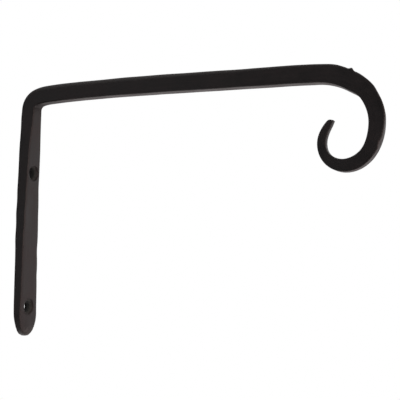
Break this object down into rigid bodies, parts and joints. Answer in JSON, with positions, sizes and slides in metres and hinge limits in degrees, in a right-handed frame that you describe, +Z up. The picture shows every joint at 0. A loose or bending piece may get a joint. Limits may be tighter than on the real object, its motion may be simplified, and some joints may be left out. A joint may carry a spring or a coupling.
{
  "type": "hanging plant bracket",
  "caption": "Forged wall bracket for a hanging plant: flattened wall leg with countersunk screw holes, level arm and a curled hook.",
  "frame": {"origin": "on the wall face of the leg, on its centreline, midway between the two screw holes", "axes": "+X away from the wall along the arm, +Z up along the leg, +Y across the bar"},
  "size_m": [0.2058, 0.0164, 0.144],
  "materials": {
    "blackened_iron": "satin black over hammer-forged iron"
  },
  "bodies": {
    "root": {"forged_bracket": "blackened_iron"}
  },
  "joints": []
}
